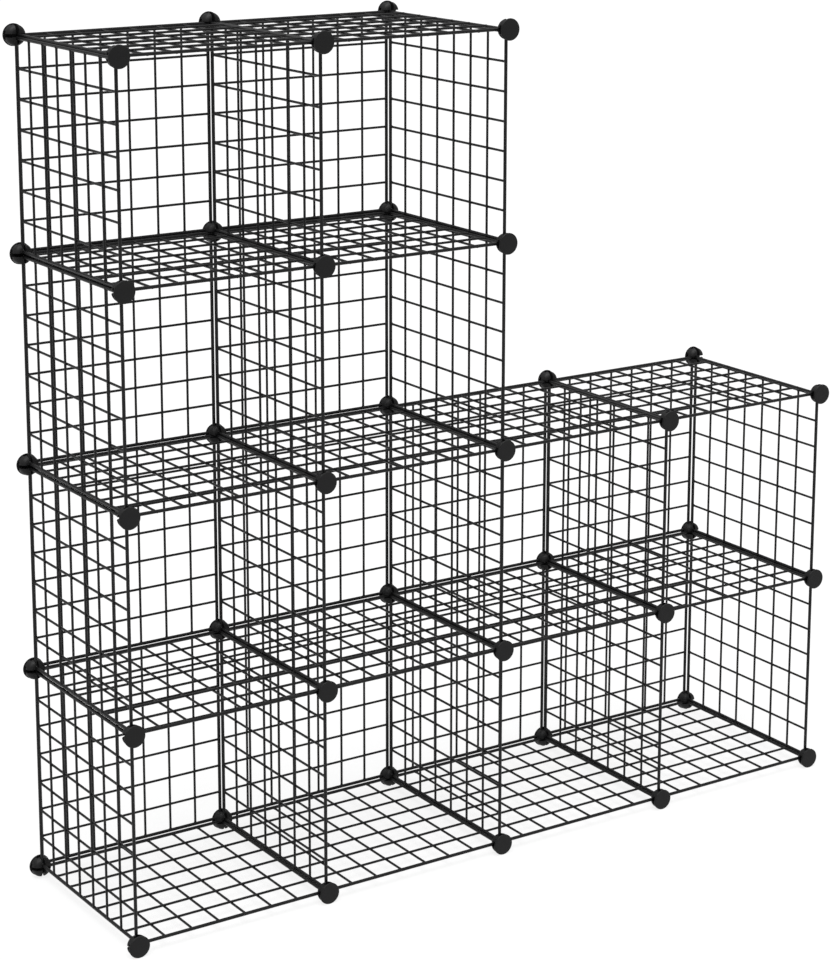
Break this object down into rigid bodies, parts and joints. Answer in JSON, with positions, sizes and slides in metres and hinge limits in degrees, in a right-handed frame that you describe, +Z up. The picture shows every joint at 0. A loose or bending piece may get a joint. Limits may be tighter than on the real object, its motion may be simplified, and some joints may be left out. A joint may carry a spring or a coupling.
{
  "type": "cube storage unit",
  "caption": "Stepped open-front cube storage unit of black welded wire grid panels clipped together at the corners by round plastic connectors.",
  "frame": {"origin": "on the floor, at the centre of the unit's overall width and depth", "axes": "+X to the right seen from the open front, +Y towards the back panels, +Z up"},
  "size_m": [1.231, 0.315, 1.231],
  "materials": {
    "wire": "semi-gloss black powder coat on steel wire",
    "connector": "satin black moulded plastic"
  },
  "bodies": {
    "root": {"back_panel_col1_row1": "wire", "back_panel_col1_row2": "wire", "back_panel_col1_row3": "wire", "back_panel_col1_row4": "wire", "back_panel_col2_row1": "wire", "back_panel_col2_row2": "wire", "back_panel_col2_row3": "wire", "back_panel_col2_row4": "wire", "back_panel_col3_row1": "wire", "back_panel_col3_row2": "wire", "back_panel_col4_row1": "wire", "back_panel_col4_row2": "wire", "bottom_panel_col1": "wire", "bottom_panel_col2": "wire", "bottom_panel_col3": "wire", "bottom_panel_col4": "wire", "divider_panel_col1_col2_row1": "wire", "divider_panel_col1_col2_row2": "wire", "divider_panel_col1_col2_row3": "wire", "divider_panel_col1_col2_row4": "wire", "divider_panel_col2_col3_row1": "wire", "divider_panel_col2_col3_row2": "wire", "divider_panel_col3_col4_row1": "wire", "divider_panel_col3_col4_row2": "wire", "front_connectors_level0": "connector", "front_connectors_level1": "connector", "front_connectors_level2": "connector", "front_connectors_level3": "connector", "front_connectors_level4": "connector", "left_side_panel_row1": "wire", "left_side_panel_row2": "wire", "left_side_panel_row3": "wire", "left_side_panel_row4": "wire", "rear_connectors_level0": "connector", "rear_connectors_level1": "connector", "rear_connectors_level2": "connector", "rear_connectors_level3": "connector", "rear_connectors_level4": "connector", "right_side_panel_row1": "wire", "right_side_panel_row2": "wire", "right_side_panel_row3": "wire", "right_side_panel_row4": "wire", "shelf1_panel_col1": "wire", "shelf1_panel_col2": "wire", "shelf1_panel_col3": "wire", "shelf1_panel_col4": "wire", "shelf2_panel_col1": "wire", "shelf2_panel_col2": "wire", "shelf3_panel_col1": "wire", "shelf3_panel_col2": "wire", "top_panel_col1": "wire", "top_panel_col2": "wire", "top_panel_col3": "wire", "top_panel_col4": "wire"}
  },
  "joints": []
}
